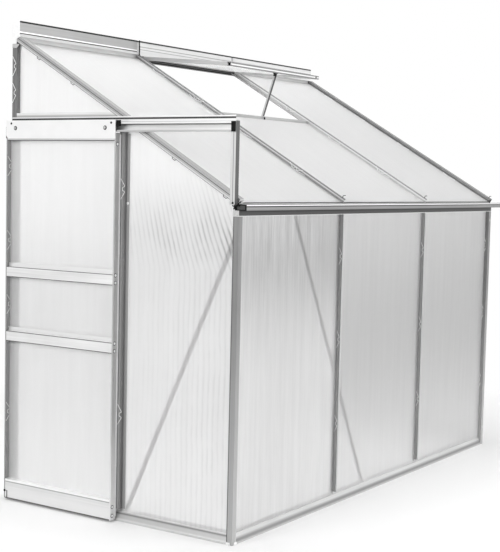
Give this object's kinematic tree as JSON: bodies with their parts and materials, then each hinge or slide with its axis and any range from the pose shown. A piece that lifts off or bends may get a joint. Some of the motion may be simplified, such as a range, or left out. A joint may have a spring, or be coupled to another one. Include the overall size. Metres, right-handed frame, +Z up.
{
  "type": "lean-to greenhouse",
  "caption": "Lean-to greenhouse with an aluminium frame and translucent twin-wall sheets, a sliding gable door, a hinged roof window held by a stay, and a front gutter.",
  "frame": {"origin": "middle of the whole part's footprint, on the ground", "axes": "+X along the front, away from the gable with the door; +Y towards the wall that it leans on; +Z up"},
  "size_m": [2.591, 1.282, 2.1421],
  "materials": {
    "mill_aluminium": "mill finish, satin, fine extrusion lines",
    "plate_metal": "smooth light sheet metal",
    "twin_wall_sheet": "translucent twin-wall with fine upright flutes",
    "black_plastic": "moulded, matt"
  },
  "bodies": {
    "frame": {"base_front": "mill_aluminium", "base_gable_left": "mill_aluminium", "base_gable_right": "mill_aluminium", "corner_post_left": "mill_aluminium", "wall_post_left": "mill_aluminium", "corner_post_right": "mill_aluminium", "wall_post_right": "mill_aluminium", "stud_front_1": "mill_aluminium", "stud_front_2": "mill_aluminium", "eave_beam": "mill_aluminium", "gutter": "mill_aluminium", "gutter_cap_left": "black_plastic", "gutter_cap_right": "black_plastic", "ridge_bar": "mill_aluminium", "ridge_cover_1": "mill_aluminium", "ridge_cover_3": "mill_aluminium", "rafter_gable_left": "mill_aluminium", "rafter_gable_right": "mill_aluminium", "rafter_1": "mill_aluminium", "rafter_2": "mill_aluminium", "door_post": "mill_aluminium", "gable_crossbar": "mill_aluminium", "door_track": "mill_aluminium", "track_cap": "black_plastic", "track_support": "mill_aluminium", "stud_gable_right": "mill_aluminium", "brace_gable": "mill_aluminium", "brace_front": "mill_aluminium", "sheet_front_1": "twin_wall_sheet", "sheet_front_2": "twin_wall_sheet", "sheet_front_3": "twin_wall_sheet", "sheet_gable_left": "twin_wall_sheet", "sheet_over_door": "twin_wall_sheet", "sheet_gable_right_1": "twin_wall_sheet", "sheet_gable_right_2": "twin_wall_sheet", "sheet_roof_1": "twin_wall_sheet", "sheet_roof_2": "twin_wall_sheet", "sheet_roof_3": "twin_wall_sheet", "window_hinge_rail": "mill_aluminium", "window_sill": "mill_aluminium"},
    "door": {"door_stile_left": "mill_aluminium", "door_stile_right": "mill_aluminium", "door_rail_high": "mill_aluminium", "door_rail_low": "mill_aluminium", "door_kick_rail": "mill_aluminium", "door_top_rail": "mill_aluminium", "door_header_plate": "plate_metal", "door_sheet_low": "twin_wall_sheet", "door_sheet_middle": "twin_wall_sheet", "door_sheet_high": "twin_wall_sheet"},
    "left_roller": {"roller_left": "black_plastic"},
    "right_roller": {"roller_right": "black_plastic"},
    "window": {"window_head_bar": "mill_aluminium", "window_side_left": "mill_aluminium", "window_side_right": "mill_aluminium", "window_bottom_bar": "mill_aluminium", "window_sheet": "twin_wall_sheet", "stay_bracket": "black_plastic"},
    "stay": {"window_stay": "mill_aluminium"}
  },
  "joints": [
    {"name": "door_slide", "type": "slide", "parent": "frame", "child": "door", "axis": [0, -1, 0], "range_m": [0, 0.568]},
    {"name": "left_roller_spin", "type": "hinge", "parent": "door", "child": "left_roller", "pos_m": [-1.27, 0.581, 1.66746], "axis": [1, 0, 0], "range_deg": [0, 2330]},
    {"name": "right_roller_spin", "type": "hinge", "parent": "door", "child": "right_roller", "pos_m": [-1.27, 0.069, 1.66746], "axis": [1, 0, 0], "range_deg": [0, 2330]},
    {"name": "window_hinge", "type": "hinge", "parent": "frame", "child": "window", "pos_m": [0.0045, 0.605, 2.06146], "axis": [-1, 0, 0], "range_deg": [-25, 12]},
    {"name": "stay_hinge", "type": "hinge", "parent": "window", "child": "stay", "pos_m": [0.0045, 0.06411, 1.98975], "axis": [-1, 0, 0], "range_deg": [-7.2, 15]}
  ],
  "couplings": [
    {"joint": "left_roller_spin", "follows": "door_slide", "rad_per_m": 71.429},
    {"joint": "right_roller_spin", "follows": "door_slide", "rad_per_m": 71.429},
    {"joint": "stay_hinge", "follows": "window_hinge", "ratio": -0.6}
  ]
}
